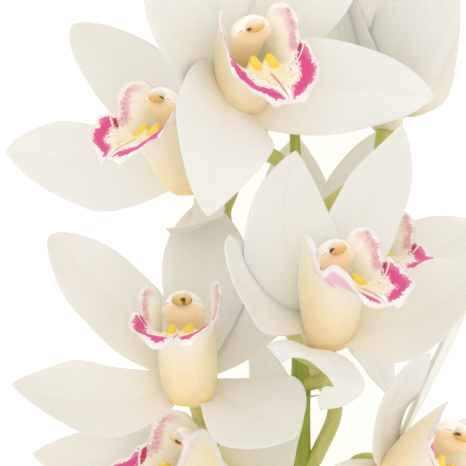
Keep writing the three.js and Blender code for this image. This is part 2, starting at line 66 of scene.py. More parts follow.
# at is the heart of a bloom. The bloom is rolled on its axis, tilted from straight up towards the tip of
# the stalk and then headed clockwise. Its pedicel leaves the stalk at y = stalk and runs through via.
BLOOMS = [
    dict(name="bloom_1", at=(-6, 150, 58), tilt=56, heading=-22, roll=12,
         stalk=104, via=[(12, 118, 48), (2, 132, 49)],
         left_petal=dict(lean=26)),
    dict(name="bloom_2", at=(50, 37, 28), tilt=96, heading=9, roll=180,
         stalk=4, via=[(32, 10, 42), (43, 19, 37)],
         dorsal=dict(clock=10, lean=51, length=70, width=34),
         left_petal=dict(clock=-9, lean=56, length=65, width=30, roll=10),
         right_petal=dict(clock=52, lean=50, length=65),
         left_sepal=dict(clock=-136, lean=56, length=49, width=30, belly=0.8, roll=44, bow=-6.5, sweep=-3),
         right_sepal=dict(clock=118, lean=48, length=60)),
    dict(name="bloom_3", at=(-0.8, 47.8, 66), tilt=25, heading=55, roll=-66,
         stalk=16, via=[(14.5, 23.3, 46), (9.5, 27, 48), (7, 36, 50)],
         left_petal=dict(clock=-45, lean=34, length=57, width=32, roll=15, bow=0, sweep=-5),
         left_sepal=dict(clock=-151, lean=18, length=54, width=37, belly=0.9, roll=-21, twist=24,
                         bow=8.5, sweep=7.5),
         right_sepal=dict(clock=103, lean=3, length=68, width=32, belly=0.6, roll=23, twist=2, bow=19,
                          sweep=-3)),
    dict(name="bloom_4", at=(-10.3, 22.2, 34), tilt=46, heading=-54, roll=62,
         stalk=-35, via=[(3, -12, 24), (-3, 5, 20)],
         dorsal=dict(clock=-7, lean=14, length=60),
         left_petal=dict(clock=-47, lean=39, length=62, width=32, belly=1.4, roll=-23, twist=-6,
                         bow=-10, sweep=-2),
         right_petal=dict(clock=24, lean=11, length=48, width=24),
         left_sepal=dict(clock=-91, lean=12.7, length=73, width=36, belly=1.3, roll=-54, twist=-12,
                         bow=1, sweep=-1),
         right_sepal=dict(clock=160, lean=30, length=40, width=18, belly=1.4, roll=15, twist=-24,
                          bow=-10, sweep=0)),
    dict(name="bloom_5", at=(25.7, -28.2, 72.5), tilt=39, heading=35, roll=-50,
         stalk=-49, via=[(29, -47, 41), (30, -43, 50)],
         dorsal=dict(clock=-8, lean=41, length=56, width=35, belly=0.9, roll=-4, bow=-4, sweep=-5),
         left_petal=dict(clock=-72, lean=38, length=55, width=32, roll=12, twist=-11, bow=-7, sweep=1),
         right_petal=dict(clock=36, lean=37, length=68, width=30, belly=1.25, roll=22, twist=14,
                          bow=-7, sweep=4.5),
         left_sepal="hooked",
         right_sepal=dict(clock=104, lean=50, length=61, width=40, belly=1.45, roll=-6, twist=-18,
                          bow=-6, sweep=8)),
    dict(name="bloom_6", at=(33.5, -20, 15.5), tilt=46, heading=40, roll=-36,
         stalk=-80, via=[(28, -70, 36), (33, -56, 33), (26, -44, 18), (25, -36, 9)],
         dorsal=dict(clock=5, lean=38, length=56),
         left_petal=dict(clock=-29, lean=27, length=53, width=29, belly=1.4, roll=-3, twist=-3, bow=-9,
                         sweep=-2),
         right_petal=dict(clock=64, lean=26, length=58, bow=-2),
         left_sepal=dict(clock=-71, lean=-30, length=48),
         right_sepal=dict(clock=140, lean=-18, length=37, width=22, roll=-8, bow=-2, sweep=-5)),
    dict(name="bloom_7", at=(-12.6, -46.8, 58), tilt=40, heading=-12, roll=11,
         stalk=-122, via=[(13, -103, 19), (4, -89, 20), (-2.5, -77, 19), (-9, -62.5, 25)],
         dorsal=dict(clock=4, lean=17, length=62, width=29, belly=1.3, roll=13, twist=5, bow=4, sweep=1.5),
         left_petal=dict(clock=-51, lean=32, length=65, width=29, roll=7, twist=2, bow=-2.5, sweep=1),
         right_petal=dict(clock=47, lean=22, length=59),
         left_sepal=dict(clock=-105, lean=21.5, length=60, width=36, belly=1.4, roll=-4, twist=20,
                         bow=-4.5, sweep=-5.5),
         right_sepal=dict(clock=132, lean=10, length=47, width=35, belly=1.5, roll=-15, twist=20,
                          bow=-1, sweep=-1)),
    dict(name="bloom_8", at=(50, -74.3, 50), tilt=40, heading=84, roll=-52,
         stalk=-125, via=[(34, -112, 34), (42, -94, 38)],
         dorsal=dict(clock=-19, lean=25, length=62, width=28, belly=1.35, roll=47, twist=-6, bow=-1,
                     sweep=3.5),
         left_petal=dict(clock=-38, lean=36, length=43, width=26, belly=1, roll=41, twist=-39, bow=-6,
                         sweep=-8),
         left_sepal=dict(clock=-152, lean=14, length=46)),
    dict(name="bloom_9", at=(2.2, -84, 36), tilt=63, heading=-69, roll=97,
         stalk=-114, via=[(16, -103, 26)],
         dorsal=dict(clock=-11, lean=18, length=51, width=34, belly=0.65, roll=23, twist=-11, bow=-8,
                     sweep=7),
         left_petal=dict(clock=-84, lean=47, length=62, width=24),
         right_petal=dict(clock=97, lean=7, length=55),
         left_sepal=dict(clock=-119, lean=61, length=68, width=27, roll=6, sweep=2.5),
         right_sepal=dict(clock=135, lean=24, length=60)),
]
# Small forms of single blooms. lip_bends are (side, place along, reach, inward, up) shifts of the lip's
# margin, and side 0 is the middle of its tip. spot is where the dark spot, brown tissue deepened with painted
# shade of the gap under the cap, sits on the front of the anther cap, and rim_shadow is the strength of the
# painted shadow line under the cap.
FORMS = {
    "bloom_3": dict(spot=(-0.80, -0.50), lip_bends=[(1, 0.87, 0.08, 2.4, 0.0), (1, 0.70, 0.05, 0.0, 1.2)]),
    "bloom_4": dict(spot=(0.88, -0.30), spot_size=0.75, left_petal=dict(square=0.6), lip_bends=[
        (-1, 0.77, 0.07, 0.0, 4.8), (-1, 0.75, 0.05, -1.5, 0.0), (-1, 0.88, 0.08, 2.6, 0.8),
        (1, 0.87, 0.08, -1.0, -2.6), (1, 0.75, 0.05, 1.2, -3.0)]),
    "bloom_5": dict(spot=(-0.85, -0.35), left_petal=dict(square=0.5), lip_bends=[
        (-1, 0.80, 0.09, 5.2, 6.0), (-1, 0.53, 0.09, 3.4, 0.0)]),
    "bloom_7": dict(spot=(0.22, -0.74), spot_size=1.15, rim_shadow=1.0, left_petal=dict(square=0.6), lip_bends=[
        (1, 0.80, 0.12, 2.6, 0.0), (-1, 0.73, 0.05, -0.6, 2.2), (0, 1.0, 0.10, 0.0, 2.2)]),
    "bloom_8": dict(dorsal=dict(wave=0.1), left_petal=dict(wave=0.1)),
    "bloom_9": dict(spot=(0.80, -0.30), dorsal=dict(edges=[(1, 0.36, 0.16, -3.2)])),
}
# at is the foot of a bud and aim the way it points.
BUDS = [
    dict(name="bud_1", at=(33, 163, 40), aim=(0.55, 0.8, 0.25), stalk=146, via=[(26, 153, 42)]),
    dict(name="bud_2", at=(24.5, 181, 40), aim=(0.1, 1, -0.05), stalk=167, via=[]),
]
# The left sepal of bloom_5 is deeply folded and hooks back over itself at its end: rows from its root to
# its rim, in the stem's own x, y, z.
HOOKED_SEPAL = np.array([
    [(29.5, -35.5, 70), (30, -36, 70), (30.5, -36.5, 70), (30.5, -36.5, 70),
     (31, -36.5, 70), (31, -36.5, 71), (31, -36.5, 71), (31, -36, 71)],
    [(21.5, -36.5, 76), (24, -37, 75), (27, -38, 74), (31.5, -39, 77),
     (34.5, -40.5, 79), (36.5, -43.5, 80), (35.5, -46.5, 82), (33.5, -48.5, 83)],
    [(11, -34.5, 97), (17, -33.5, 95), (23.5, -36, 92), (31.5, -37.5, 89),
     (37.5, -41.5, 92), (40.5, -48, 96), (34.5, -53, 98), (27.5, -54.5, 98)],
    [(13, -37.5, 101), (17.5, -36, 102), (23, -37.5, 101), (29.5, -39.5, 99),
     (33.5, -43, 101), (35.5, -47.5, 104), (31, -50, 104), (26.5, -52.5, 102)],
    [(15.5, -40, 100), (18, -38.5, 103), (23, -39, 104), (27, -42, 104),
     (29.5, -44.5, 105), (31, -47.5, 106), (28, -47.5, 105), (26, -51, 103)],
])
BUD_LENGTH, BUD_RADIUS = 21.0, 4.9

# The flowering stalk from its cut end to its tip: x, y, z and radius.
STALK = np.array([
    (10, -335, 4.2, 4.4), (14, -270, 7.5, 4.3), (18, -200, 15, 4.1), (21, -130, 27, 3.7),
    (22, -75, 35, 3.2), (21.5, -20, 39, 2.6), (20, 30, 42, 1.7), (18, 95, 44, 1.6),
    (18, 140, 44, 1.5), (22, 170, 43, 1.3)])
# The sheaths begin at these y of the stalk.
SHEATHS = [-275, -205]
SHEATH_LENGTH = 45.0
BRACT_LENGTH = 4.6
PEDICEL_RADIUS, BUD_STALK_RADIUS = 2.45, 1.6
# A pedicel comes in straight behind its bloom, between these distances from its heart.
PEDICEL_END = (15.6, 4.0)

# The receptacle in the bloom's frame: x right, y up, z to the front.
RECEPTACLE_RADII = np.array([5.4, 7.5, 4.5])
RECEPTACLE_CENTRE = np.array([0, -2.4, -0.6])

# The lip in the bloom's frame: the rim of its right half from its foot over the side lobe and the notch to
# the tip of the midlobe, the floor under it, and where the wall between the two bends: so many times as
# far out as the rim, and so high above the floor.
LIP_RIM = np.array([
    (2.6, -10.2, 0.9), (6.4, -5.5, 3.5), (8, 1, 8), (8.4, 8.5, 14), (7.9, 14.4, 20), (8.8, 17, 26),
    (11.6, 15.2, 30.6), (13.1, 9.5, 32.4), (12.8, 3.2, 31.3), (13.8, 0.4, 33.6), (14.6, -4.8, 37.6),
    (12.8, -12.4, 41), (7.2, -17.4, 42.4), (1.5, -19.2, 42.4)])
LIP_FLOOR = np.array([
    (0, -10.8, 0.7), (0, -12, 3.5), (0, -11.8, 7.5), (0, -10.9, 12), (0, -9.4, 16.5), (0, -7.6, 21),
    (0, -6.1, 25), (0, -5.5, 28.5), (0, -6.2, 31), (0, -8, 33.2), (0, -10.6, 35.8), (0, -13.6, 38.6),
    (0, -16.8, 41), (0, -19, 42.5)])
LIP_BULGE = [1, 1.25, 1.3, 1.3, 1.35, 1.3, 1.1, 1, 0.9, 0.75, 0.7, 0.65, 0.6, 0.6]
LIP_RISE = [0, -1, -1.4, -1.2, -1, -0.8, -0.5, -0.4, -0.2, 0, 0.4, 0.4, 0.2, 0]

# The column: how high its axis is and how far out, and its half width and half height.
COLUMN = np.array([
    (2, 4.4, 4.2, 3.4), (4, 9.5, 4.8, 3.6), (6.5, 16, 5.6, 4.2), (9, 21.6, 6.3, 4.6),
    (10, 25.2, 6.3, 4.4), (10.4, 27.8, 5, 3.6), (10.5, 29, 2.8, 2)])
ANTHER_CENTRE = np.array([0, 10.1, 28.8])
ANTHER_RADII = np.array([3.15, 1.95, 2.3])


# ------------------------------------------------------------------ numbers
def smooth(x, low, high):
    """A soft step from 0 at low to 1 at high."""
    k = np.clip((np.asarray(x, float) - low) / (high - low), 0, 1)
    return k * k * (3 - 2 * k)


def bump(x, middle, reach, power=2):
    """1 at the middle, and a soft fall to nothing on both sides."""
    return np.exp(-np.abs((x - middle) / reach) ** power)


def unit(v):
    return v / np.maximum(np.linalg.norm(v, axis=-1, keepdims=True), 1e-12)


def spin(axis, degrees):
    """The matrix of a right-handed turn about an axis."""
    x, y, z = unit(np.asarray(axis, float))
    a = math.radians(degrees)
    c, s, d = math.cos(a), math.sin(a), 1 - math.cos(a)
    return np.array([
        [c + x * x * d, x * y * d - z * s, x * z * d + y * s],
        [y * x * d + z * s, c + y * y * d, y * z * d - x * s],
        [z * x * d - y * s, z * y * d + x * s, c + z * z * d]])


def spline(points, u):
    """Points on the Catmull-Rom curve through the given ones, u from 0 to 1."""
    p = np.asarray(points, float)
    p = np.vstack([2 * p[0] - p[1], p, 2 * p[-1] - p[-2]])
    place = np.clip(np.atleast_1d(u), 0, 1) * (len(p) - 3)
    i = np.minimum(place.astype(int), len(p) - 4)
    k = (place - i)[:, None]
    a, b, c, d = p[i], p[i + 1], p[i + 2], p[i + 3]
    return 0.5 * (2 * b + (c - a) * k + (2 * a - 5 * b + 4 * c - d) * k ** 2
                  + (3 * b - a - 3 * c + d) * k ** 3)


def blend(values, u):
    """The value at u, 0 to 1, of a list of values at even steps."""
    return np.interp(u, np.linspace(0, 1, len(values)), values)


def turn(bloom):
    """The matrix that turns a bloom from its own frame into the stem's."""
    return (spin((0, 0, 1), -bloom["heading"]) @ spin((1, 0, 0), -bloom["tilt"])
            @ spin((0, 0, 1), -bloom["roll"]))


def normals(grid):
    """Unit normals of a grid of points, rows by columns: across times along."""
    along = np.gradient(grid, axis=0)
    across = np.gradient(grid, axis=1)
    return unit(np.cross(across, along))


def nearest(grid, others, batch=600):
    """How far each point of a grid is from the nearest of the other points."""
    flat = grid.reshape(-1, 1, 3)
    gaps = [np.linalg.norm(flat[i:i + batch] - others[None], axis=-1).min(1)
            for i in range(0, len(flat), batch)]
    return np.concatenate(gaps).reshape(grid.shape[:2])


# ------------------------------------------------------------------ meshes
class Skin:
    """Gathers grids of points in millimetres into one mesh, with named values at its points."""

    def __init__(self):
        self.points, self.faces, self.values, self.count = [], [], {}, 0

    def ring_grid(self, grid, ends="flat", **values):
        """Rows of closed rings. Each end ring is closed by one flat face, or, where ends is "sheet", by a
        strip from the front of the sheet to its back."""
        rows, columns = grid.shape[:2]
        start = self.count
        self.points.append(grid.reshape(-1, 3))
        for name, value in values.items():
            shape = (rows, columns, 3) if np.ndim(value) == 3 else (rows, columns)
            flat = np.broadcast_to(value, shape).reshape(rows * columns, -1)
            self.values.setdefault(name, []).append(flat)
        self.count += rows * columns
        i, j = np.meshgrid(np.arange(rows - 1), np.arange(columns), indexing="ij")
        k = (j + 1) % columns
        quads = np.stack([i * columns + j, i * columns + k, (i + 1) * columns + k,
                          (i + 1) * columns + j], -1).reshape(-1, 4) + start
        self.faces += quads.tolist()
        for row, flip in ((0, True), (rows - 1, False)):
            ring = [start + row * columns + c for c in range(columns)]
            if ends == "sheet":
                half = columns // 2
                strips = [[ring[c], ring[c + 1], ring[columns - 2 - c], ring[columns - 1 - c]]
                          for c in range(half - 1)]
            else:
                strips = [ring]
            self.faces += [s[::-1] if flip else s for s in strips]

    def piece(self, name, material, place=None, move=None, slot=None, nodes=()):
        """The finished Blender object, turned by place and shifted by move."""
        points = np.vstack(self.points)
        if place is not None:
            points = points @ place.T
        if move is not None:
            points = points + np.asarray(move, float)
        # what would dip into the surface that the stem lies on is squeezed flat on to it
        low = points[:, 2] < SQUEEZED
        points[low, 2] = SQUEEZED * np.exp(points[low, 2] / SQUEEZED - 1)
        points = (points - MIDDLE) * MILLIMETRE
        mesh = bpy.data.meshes.new(name)
        mesh.from_pydata(points.tolist(), [], self.faces)
        for key, parts in self.values.items():
            flat = np.vstack(parts).astype(np.float32)
            kind, field = ("FLOAT_VECTOR", "vector") if flat.shape[1] == 3 else ("FLOAT", "value")
            mesh.attributes.new(key, kind, "POINT").data.foreach_set(field, flat.ravel())
        mesh.polygons.foreach_set("use_smooth", [True] * len(mesh.polygons))
        mesh.materials.append(material)
        mesh.update()
        piece = bpy.data.objects.new(name, mesh)
        bpy.context.collection.objects.link(piece)
        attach(piece, "root")
        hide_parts(*nodes)
        return piece


def sheet_rings(grid, thickness):
    """The front of a sheet and then its back as one closed ring per row."""
    half = normals(grid) * thickness[..., None] / 2
    return np.concatenate([grid + half, (grid - half)[:, ::-1]], axis=1)


def both(value):
    """The same values on the front of a sheet and, in the order of the ring, on its back."""
    return np.concatenate([value, value[:, ::-1]], axis=1)


def front_only(columns):
    """1 on the front of a sheet and 0 on its back."""
    return np.repeat([1.0, 0.0], columns)[None, :]


def ball_grid(rows, columns):
    """Rings round the z axis of a ball of radius 1, with a tiny flat at each pole."""
    level = -np.cos(np.pi * np.linspace(0, 1, rows))
    angle = np.linspace(0, 2 * np.pi, columns, endpoint=False)
    radius = np.sqrt(np.maximum(0, 1 - level ** 2)) + 0.004
    return np.stack([radius[:, None] * np.cos(angle), radius[:, None] * np.sin(angle),
                     np.broadcast_to(level[:, None], (rows, columns))], -1)


def tube_grid(path, wide, high, sides, up=(0, 0, 1)):
    """Rings across a path, each with the given half width and half height, and their angles."""
    along = unit(np.gradient(path, axis=0))
    up = np.asarray(up, float)
    if abs(along[0] @ up) > 0.8:
        up = np.array([0, 1.0, 0]) if abs(along[0][1]) < 0.8 else np.array([1.0, 0, 0])
    angle = np.linspace(0, 2 * np.pi, sides, endpoint=False)
    rings = []
    for p, a, w, h in zip(path, along, wide, high):
        up = unit(up - a * (up @ a))
        side = np.cross(up, a)
        rings.append(p + np.outer(np.cos(angle) * w, side) + np.outer(np.sin(angle) * h, up))
    return np.array(rings), angle


def swollen(grid, path, factor):
    """The rings of a tube with their distance from its path multiplied."""
    return path[:, None] + (grid - path[:, None]) * factor[..., None]


# ------------------------------------------------------------------ sepals and petals
def outline(t, square, belly):
    """The half width of a blade along its length, 1 at its widest."""
    bell = np.maximum(0, np.sin(np.pi * (0.08 + 0.92 * t) ** belly))
    return np.maximum(0.02, bell ** (0.75 - 0.3 * square))


def blade_grid(b, rng, rows=46, columns=23):
    """A blade in its bloom's frame: its middle surface, its thickness, and where its rows and columns
    are along it, from 0 to 1, and across it, from -1 to 1."""
    t = 1 - (1 - np.linspace(0, 1, rows)) ** 1.45
    s = np.sin(np.linspace(-1, 1, columns) * np.pi / 2)
    clock, lean, cup = (math.radians(b[key]) for key in ("clock", "lean", "cup"))
    along = np.array([math.cos(lean) * math.sin(clock), math.cos(lean) * math.cos(clock),
                      math.sin(lean)])
    front = unit(np.array([0, 0, 1.0]) - along * along[2])
    front = spin(along, b["roll"]) @ front
    side = np.cross(along, front)

    def midrib(q):
        q = np.asarray(q)[:, None]
        arch = 4 * q * (1 - q)
        return (along * (BLADE_ROOT + (b["length"] - BLADE_ROOT) * q)
                + front * b["bow"] * arch + side * b["sweep"] * arch)

    tangent = unit(midrib(t + 0.01) - midrib(t - 0.01))
    normal = unit(front - tangent * (tangent @ front)[:, None])
    normal = np.array([spin(a, b["twist"] * q) @ n for a, q, n in zip(tangent, t, normal)])
    across = np.cross(tangent, normal)
    # the two edges, and the cupped surface between them
    half = b["width"] / 2 * outline(t, b["square"], b["belly"])
    wide = np.ones((rows, 2)) * half[:, None]
    for edge, place, reach, height in b["edges"]:
        wide[:, 0 if edge < 0 else 1] += height * bump(t, place, reach)
    left = s[None, :] < 0
    reach = np.where(left, wide[:, :1], wide[:, 1:])
    flat = reach * np.sin(cup * s) / cup
    rise = reach * (1 - np.cos(cup * s)) / cup
    # ruffles and curled edges, both fading out at the root and the tip, and the groove of the midrib
    phase = rng.uniform(0, 2 * np.pi, 2)
    turns = b["waves"] * rng.uniform(0.85, 1.2, 2)
    ripple = [np.sin(2 * np.pi * turns[i] * t + phase[i])[:, None] for i in (0, 1)]
    bell = (np.sin(np.pi * t) ** 0.6)[:, None]
    rise = rise + b["wave"] * np.where(left, *ripple) * np.abs(s) ** 2.4 * bell
    rise = rise - b["curl"] * np.abs(s) ** 5 * bell
    fade = (smooth(t, 0.02, 0.15) * (1 - smooth(t, 0.75, 1)))[:, None]
    rise = rise - b["groove"] * bump(s[None, :], 0, 0.11) * fade
    grid = midrib(t)[:, None] + across[:, None] * flat[..., None] + normal[:, None] * rise[..., None]
    thick = (BLADE_THICKNESS - 0.25 * smooth(t, 0, 1))[:, None] * (1 - 0.55 * np.abs(s[None, :]) ** 3)
    return grid, thick, t, s


def hooked_grid(bloom, rows=60, columns=41):
    """The hooked sepal: a smooth surface through its rows, in its bloom's own frame."""
    t, s = np.linspace(0, 1, rows), np.linspace(-1, 1, columns)
    across = np.array([spline(row, (s + 1) / 2) for row in HOOKED_SEPAL])
    grid = np.stack([spline(across[:, j], t) for j in range(columns)], axis=1)
    grid = (grid - np.array(bloom["at"])) @ turn(bloom)
    thick = 0.9 * (1 - 0.4 * np.abs(s) ** 4)[None, :] * (1 - 0.4 * t ** 6)[:, None]
    return grid, thick, t, s


def tepals(bloom, rng):
    """The five sepals and petals of a bloom and the receptacle that they grow from."""
    skin = Skin()
    for name, blade in BLADES.items():
        own = bloom.get(name, {})
        if own == "hooked":
            grid, thick, t, s = hooked_grid(bloom)
        else:
            form = FORMS.get(bloom["name"], {}).get(name, {})
            grid, thick, t, s = blade_grid({**SHAPE, **blade, **own, **form}, rng)
        rings = sheet_rings(grid, thick)
        skin.ring_grid(rings, "sheet", along=t[:, None], across=both(s[None, :]),
                       front=front_only(len(s)), tone=rng.uniform(0, 1), local=rings)
    body = ball_grid(15, 28) * RECEPTACLE_RADII + RECEPTACLE_CENTRE
    skin.ring_grid(body, along=0.0, across=0.0, front=0.5, tone=0.5, local=body)
    return skin


# ------------------------------------------------------------------ lip
def lip(bends, rng, rows=110, columns=73):
    """The lip from its foot, row 0, to the tip of the midlobe, and from its left rim to its right."""
    u = np.linspace(0, 1, rows)
    v = np.linspace(1, -1, columns)
    v = 0.5 * v + 0.5 * np.sin(v * np.pi / 2)
    r = np.abs(v)[None, :]
    left = v < 0
    # each row is an arc from the floor by the bend of the wall to the rim
    rim, floor = spline(LIP_RIM, u), spline(LIP_FLOOR, u)
    bend = np.stack([rim[:, 0] * blend(LIP_BULGE, u), floor[:, 1] + blend(LIP_RISE, u),
                     floor[:, 2] + (rim[:, 2] - floor[:, 2]) * 0.3], -1)
    reach = r[..., None]
    grid = floor[:, None] * (1 - reach) ** 2 + bend[:, None] * 2 * reach * (1 - reach)
    grid = grid + rim[:, None] * reach ** 2
    # the ruffled margin of the midlobe, and a finer crimp on it
    shift = np.where(left, *rng.uniform(-0.5, 0.5, 2))[None, :]
    swell = np.where(left, *rng.uniform(0.8, 1.2, 2))[None, :]
    far = smooth(u, 0.55, 0.70)[:, None]
    wave = 1.35 * far * swell * np.sin(2 * np.pi * 5 * u[:, None] + shift)
    crimp = 0.30 * far * np.sin(2 * np.pi * 11.6 * u[:, None] + shift * 5)
    grid[..., 1] += wave * r ** 3 * 0.5 + crimp * r ** 6
    grid[..., 2] += wave * r ** 3 + crimp * r ** 6
    for side, place, width, inward, up in bends:
        here = bump(u, place, width)[:, None]
        here = here * (np.where(v * side > 0, 1, 0)[None, :] * r ** 2 if side else 1 - r ** 2)
        grid[..., 0] -= here * inward
        grid[..., 1] += here * up
    grid[..., 0] *= np.where(left, -1, 1)[None, :]
    # the lip thins out towards its margin
    margin = np.concatenate([grid[:, 0], grid[-1], grid[::-1, -1]])
    gap = nearest(grid, margin)
    rings = sheet_rings(grid, 0.35 + 0.75 * smooth(gap, 0, 4))
    # the callus on the inner face: a pad with two swollen keels that end in front of the column
    away = np.abs(grid[..., 0])
    end = (1 - smooth(u, 0.51, 0.60))[:, None]
    pad = smooth(u, 0.12, 0.42)[:, None] * end * bump(away, 0, 6.0)
    swelling = bump(away, 2.9, 2.0, 3)
    keels = smooth(u, 0.32, 0.50)[:, None] * end * swelling
    rings[:, :columns, 1] += 3.0 * pad + 3.7 * keels
    golden = (smooth(u, 0.36, 0.44) * (1 - smooth(u, 0.555, 0.61)))[:, None] * swelling
    skin = Skin()
    skin.ring_grid(rings, "sheet", along=u[:, None], across=both(v[None, :]), rim=both(gap),
                   keel=both(golden), front=front_only(columns), local=rings)
    return skin


# ------------------------------------------------------------------ column and anther cap
def column_rings():
    """The column's rings, their places along it, and how far each column of points is under it and on
    its wings."""
    k = np.linspace(0, 1, 56)
    height, out, wide, high = spline(COLUMN, k).T
    path = np.stack([np.zeros(len(k)), height, out], -1)
    grid, angle = tube_grid(path, wide, high, 48, (0, 1, 0))
    under = np.maximum(0, -np.sin(angle))[None, :]
    over = np.maximum(0, np.sin(angle))[None, :]
    wing = (bump(angle, np.pi * 1.10, 0.2) + bump(angle, np.pi * 1.90, 0.2))[None, :]
    hollow = under ** 3 * (0.9 + 1.5 * smooth(k, 0.5, 0.8))[:, None]
    flare = wing * 0.8 * smooth(k, 0.4, 0.7)[:, None]
    outward = unit(grid - path[:, None])
    grid = grid - outward * hollow[..., None] + outward * flare[..., None]
    grid[..., 2] += smooth(k, 0.6, 0.95)[:, None] * (0.9 * over - 2.0 * under ** 2)
    # the pocket that the anther cap sits in
    pocket = ANTHER_RADII * 0.97
    gap = (grid - ANTHER_CENTRE) / pocket
    flat = np.clip(gap[..., 0] ** 2 + gap[..., 1] ** 2, 0, 1)
    back = ANTHER_CENTRE[2] - pocket[2] * np.sqrt(1 - flat)
    inside = (flat < 1) & (grid[..., 2] > back)
    grid[..., 2] = np.where(inside, back, grid[..., 2])
    return grid, k, under, wing


def column():
    grid, k, under, wing = column_rings()
    skin = Skin()
    skin.ring_grid(grid, along=k[:, None], under=under, wing=wing, local=grid)
    return skin


def anther_cap(spot, spot_size, rim_shadow):
    """The cap: a ball with a crease down its front, a fuller low edge and one side fuller."""
    ball = ball_grid(25, 36)
    crease = 1 - 0.09 * bump(ball[..., 0], 0, 0.2) * smooth(ball[..., 2], -0.2, 0.9)
    low = 1 + 0.10 * bump(ball[..., 1], -0.5, 0.3) * smooth(ball[..., 2], 0.1, 0.8)
    skewed = 1 + 0.10 * np.sign(spot[0]) * ball[..., 0] * smooth(-ball[..., 1], -0.2, 0.8)
    grid = ball * (crease * low * skewed)[..., None] * ANTHER_RADII + ANTHER_CENTRE
    # painted shadow: a dark line in the gap where the lower half of the cap meets its pocket
    near = nearest(grid, column_rings()[0].reshape(-1, 3))
    line = rim_shadow * (1 - smooth(near, 0.35, 0.85)) * (1 - smooth(ball[..., 1], -0.35, 0.10))
    skin = Skin()
    skin.ring_grid(grid, ball=ball, spot=(ball - np.array([*spot, 0])) / spot_size, local=grid, line=line)
    return skin


# ------------------------------------------------------------------ stem
STALK_LINE = spline(STALK, np.linspace(0, 1, 500))


def stalk_point(y):
    return np.array([np.interp(y, STALK_LINE[:, 1], STALK_LINE[:, i]) for i in range(3)])


def stalk_radius(y):
    return np.interp(y, STALK_LINE[:, 1], STALK_LINE[:, 3])


def stalk():
    """The ribbed stalk, a little thicker wherever a pedicel leaves it."""
    u = np.linspace(0, 1, 190)
    line = spline(STALK, u)
    path, radius = line[:, :3], line[:, 3]
    grid, angle = tube_grid(path, radius, radius, 30)
    ribs = 1 + 0.022 * np.cos(7 * angle)[None, :] * smooth(u, 0, 0.2)[:, None]
    for piece in BLOOMS + BUDS:
        ribs = ribs + 0.10 * bump(path[:, 1], piece["stalk"], 4.5)[:, None]
    grid = swollen(grid, path, ribs)
    skin = Skin()
    skin.ring_grid(grid, along=u[:, None], local=grid)
    return skin


def pedicels():
    """The pedicels of the blooms, which swell into six-ribbed ovaries, and the plain ones of the buds."""
    skin = Skin()
    u = np.linspace(0, 1, 60)
    for bloom in BLOOMS:
        axis = turn(bloom) @ np.array([0, 0, 1.0])
        heart = np.array(bloom["at"], float)
        path = spline([stalk_point(bloom["stalk"]), *bloom["via"],
                       *(heart - axis * behind for behind in PEDICEL_END)], u)
        radius = PEDICEL_RADIUS + 0.6 * smooth(u, 0.4, 0.9)
        grid, angle = tube_grid(path, radius, radius, 24)
        ribs = 1 + 0.07 * np.cos(6 * angle)[None, :] * smooth(u, 0.45, 0.8)[:, None]
        ribs = ribs + 0.12 * (1 - smooth(u, 0, 0.12))[:, None]
        grid = swollen(grid, path, ribs)
        skin.ring_grid(grid, along=u[:, None], local=grid)
    coarse = u[::3]
    radius = np.full(len(coarse), BUD_STALK_RADIUS)
    for piece in BUDS:
        path = spline([stalk_point(piece["stalk"]), *piece["via"], np.array(piece["at"], float)], coarse)
        grid = tube_grid(path, radius, radius, 24)[0]
        skin.ring_grid(grid, along=coarse[:, None], local=grid)
    return skin


def bracts():
    """A clasping, pointed scale under the foot of every pedicel."""
    skin = Skin()
    k = np.linspace(0, 1, 14)[:, None]
    a = np.linspace(1, -1, 13)[None, :]
    for piece in BLOOMS + BUDS:
        foot = stalk_point(piece["stalk"] - 4)
        toward = np.array((piece["via"] or [piece["at"]])[0], float) - stalk_point(piece["stalk"])
        toward = unit(toward)
        out = unit(toward * np.array([1, 0, 1]))
        side = np.cross(out, (0, 1, 0))
        spread = 1.0 * (1 - k ** 1.7) * a
        lift = stalk_radius(piece["stalk"]) + 0.35 + 1.2 * k ** 2
        spine = foot[None, None] + toward * (BRACT_LENGTH * k[..., None])
        grid = (spine + out * (np.cos(spread) * lift)[..., None] * 0.9
                + side * (np.sin(spread) * lift)[..., None])
        rings = sheet_rings(grid, 0.35 * (1 - 0.5 * np.abs(a)) * (1 - 0.4 * k))
        skin.ring_grid(rings, "sheet", along=k, local=rings)
    return skin


def sheaths():
    """The finely ribbed sheaths round the lower stalk, each with the edge of its lap."""
    skin = Skin()
    k = np.linspace(0, 1, 40)
    for start in SHEATHS:
        y = start + SHEATH_LENGTH * k
        path = np.array([stalk_point(v) for v in y])
        radius = stalk_radius(y) + 0.15 + 1.1 * smooth(k, 0, 0.1) * (1 - 0.55 * smooth(k, 0.75, 1))
        grid, angle = tube_grid(path, radius, radius, 36)
        ribs = 1 + 0.012 * np.cos(14 * angle)
        lap = 0.09 * smooth(np.cos(angle - 1.2), 0.93, 0.99)
        grid = swollen(grid, path, (ribs + lap)[None, :])
        skin.ring_grid(grid, along=k[:, None], local=grid)
    return skin


def bud(piece):
    """Three sepals folded over each other, with a seam between each two."""
    aim = unit(np.array(piece["aim"], float))
    t = 1 - (1 - np.linspace(0, 1, 36)) ** 1.5
    bow = unit(np.cross(aim, (0.3, -0.2, 1)))
    path = np.array(piece["at"], float) + aim * (BUD_LENGTH * t)[:, None]
    path = path + bow * (0.9 * np.sin(np.pi * t))[:, None]
    radius = BUD_RADIUS * outline(t, 0.1, 1.16)
    grid, angle = tube_grid(path, radius, radius * 0.88, 42)
    third = np.mod(angle * 3 / (2 * np.pi) + t[:, None] * 0.12, 1)
    seam = 1 - 0.10 * bump(third, 0.5, 0.09)
    keel = 1 + 0.04 * np.cos(3 * angle)[None, :]
    grid = swollen(grid, path, seam * keel)
    skin = Skin()
    skin.ring_grid(grid, along=t[:, None], seam=1 - seam, local=grid)
    return skin


